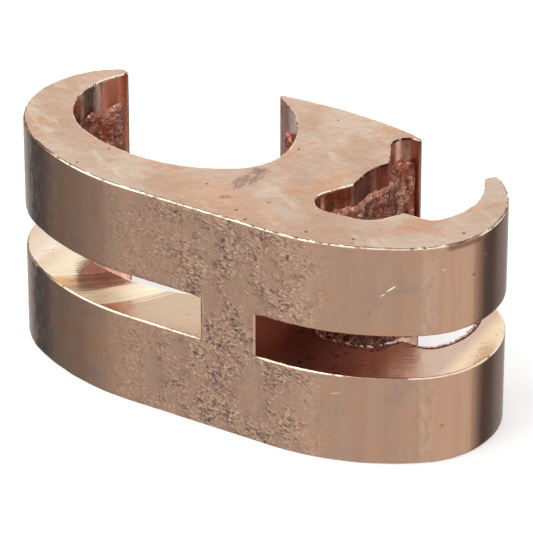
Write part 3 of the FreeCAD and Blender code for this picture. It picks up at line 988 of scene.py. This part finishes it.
# Floor's width in metres and its grey, its glow where it is seen, and the level of the room's light
FLOOR_SIZE = 6.0
FLOOR_SHADE = 0.82
FLOOR_GLOW = 0.35
ROOM_LEVEL = 0.8

# Height of a direction at which the surroundings give way to the white above, from and to
HORIZON = (-0.12, 0.02)

camera_data = bpy.data.cameras.new("camera")
camera_data.lens = CAMERA_LENS
camera_data.sensor_width = SENSOR_WIDTH
camera = bpy.data.objects.new("camera", camera_data)
camera.location = AIM + CAMERA_BACK * CAMERA_DISTANCE
camera.rotation_euler = CAMERA_BACK.to_track_quat("Z", "Y").to_euler()
bpy.context.collection.objects.link(camera)
bpy.context.scene.camera = camera
bpy.context.scene.view_settings.view_transform = "Standard"


def flat_square(name, width):
    """A level square at the height that the part stands on."""
    half = width / 2.0
    corners = [(-half, -half, 0.0), (half, -half, 0.0), (half, half, 0.0), (-half, half, 0.0)]
    mesh = bpy.data.meshes.new(name)
    mesh.from_pydata(corners, [], [(0, 1, 2, 3)])
    square = bpy.data.objects.new(name, mesh)
    bpy.context.collection.objects.link(square)
    return square


def seen_share(tree, unseen, seen):
    """A value for what the camera, reflections and clear parts see, and another for the rest."""
    path = tree.nodes.new("ShaderNodeLightPath")
    total = None
    for ray in ("Is Camera Ray", "Is Glossy Ray", "Is Transmission Ray"):
        if total is None:
            total = path.outputs[ray]
            continue
        node = tree.nodes.new("ShaderNodeMath")
        node.operation = "MAXIMUM"
        tree.links.new(total, node.inputs[0])
        tree.links.new(path.outputs[ray], node.inputs[1])
        total = node.outputs["Value"]
    node = tree.nodes.new("ShaderNodeMapRange")
    tree.links.new(total, node.inputs["Value"])
    node.inputs["To Min"].default_value = unseen
    node.inputs["To Max"].default_value = seen
    return node.outputs["Result"]


def pale_floor():
    """A plain floor that shows white to the camera and in reflections, and keeps the soft shadow."""
    material = bpy.data.materials.new("pale_floor")
    material.use_nodes = True
    tree = material.node_tree
    tree.nodes.clear()
    output = tree.nodes.new("ShaderNodeOutputMaterial")
    both = tree.nodes.new("ShaderNodeAddShader")
    diffuse = tree.nodes.new("ShaderNodeBsdfDiffuse")
    diffuse.inputs["Color"].default_value = (FLOOR_SHADE, FLOOR_SHADE, FLOOR_SHADE, 1.0)
    glow = tree.nodes.new("ShaderNodeEmission")
    glow.inputs["Color"].default_value = (1.0, 1.0, 1.0, 1.0)
    tree.links.new(seen_share(tree, 0.0, FLOOR_GLOW), glow.inputs["Strength"])
    tree.links.new(diffuse.outputs[0], both.inputs[0])
    tree.links.new(glow.outputs[0], both.inputs[1])
    tree.links.new(both.outputs[0], output.inputs["Surface"])
    return material


floor = flat_square("floor", FLOOR_SIZE)
floor.data.materials.append(pale_floor())
floor.visible_glossy = False

# What reflections see below the horizon: bearing in degrees from +X, and brightness
SURROUNDINGS = (
    (-180.0, 0.32), (-152.0, 0.36), (-129.0, 0.72), (-116.0, 1.0), (18.0, 1.0), (27.0, 0.8),
    (35.0, 0.12), (58.0, 0.14), (65.0, 0.4), (98.0, 0.45), (106.0, 0.95), (121.0, 0.95),
    (136.0, 0.9), (152.0, 0.5), (170.0, 0.34), (180.0, 0.32),
)


def light_room():
    """A white room above the horizon, and the darker ends of it that the walls reflect from below."""
    world = bpy.data.worlds.new("room")
    world.use_nodes = True
    bpy.context.scene.world = world
    tree = world.node_tree
    direction = tree.nodes.new("ShaderNodeTexCoord").outputs["Generated"]
    parts = tree.nodes.new("ShaderNodeSeparateXYZ")
    tree.links.new(direction, parts.inputs["Vector"])
    bearing = tree.nodes.new("ShaderNodeMath")
    bearing.operation = "ARCTAN2"
    tree.links.new(parts.outputs["Y"], bearing.inputs[0])
    tree.links.new(parts.outputs["X"], bearing.inputs[1])
    turn = tree.nodes.new("ShaderNodeMapRange")
    tree.links.new(bearing.outputs["Value"], turn.inputs["Value"])
    turn.inputs["From Min"].default_value = -math.pi
    turn.inputs["From Max"].default_value = math.pi
    levels = tree.nodes.new("ShaderNodeValToRGB")
    tree.links.new(turn.outputs["Result"], levels.inputs["Fac"])
    stops = levels.color_ramp.elements
    while len(stops) < len(SURROUNDINGS):
        stops.new(0.5)
    for stop, (degrees, level) in zip(stops, SURROUNDINGS):
        stop.position = (degrees + 180.0) / 360.0
        stop.color = (level, level, level, 1.0)
    rise = tree.nodes.new("ShaderNodeMapRange")
    tree.links.new(parts.outputs["Z"], rise.inputs["Value"])
    rise.inputs["From Min"].default_value, rise.inputs["From Max"].default_value = HORIZON
    sky = tree.nodes.new("ShaderNodeMix")
    sky.data_type = "RGBA"
    tree.links.new(rise.outputs["Result"], sky.inputs[0])
    tree.links.new(levels.outputs["Color"], sky.inputs[6])
    sky.inputs[7].default_value = (1.0, 1.0, 1.0, 1.0)
    seen = tree.nodes.new("ShaderNodeLightPath").outputs["Is Glossy Ray"]
    shown = tree.nodes.new("ShaderNodeMix")
    shown.data_type = "RGBA"
    tree.links.new(seen, shown.inputs[0])
    shown.inputs[6].default_value = (1.0, 1.0, 1.0, 1.0)
    tree.links.new(sky.outputs[2], shown.inputs[7])
    background = tree.nodes["Background"]
    tree.links.new(shown.outputs[2], background.inputs["Color"])
    tree.links.new(seen_share(tree, ROOM_LEVEL, 1.0), background.inputs["Strength"])


light_room()


def softbox(name, direction, distance, size, level):
    """A square soft light that faces the object."""
    data = bpy.data.lights.new(name, "AREA")
    data.size = size
    data.energy = level * math.pi * size * size
    lamp = bpy.data.objects.new(name, data)
    toward = Vector(direction).normalized()
    lamp.location = AIM + toward * distance
    lamp.rotation_euler = toward.to_track_quat("Z", "Y").to_euler()
    bpy.context.collection.objects.link(lamp)
    return lamp


softbox("front_softbox", (-0.42, -0.53, 0.73), 0.5, 0.45, 2.2)
softbox("back_softbox", (-0.5, 0.83, 0.14), 0.6, 0.3, 2.0)
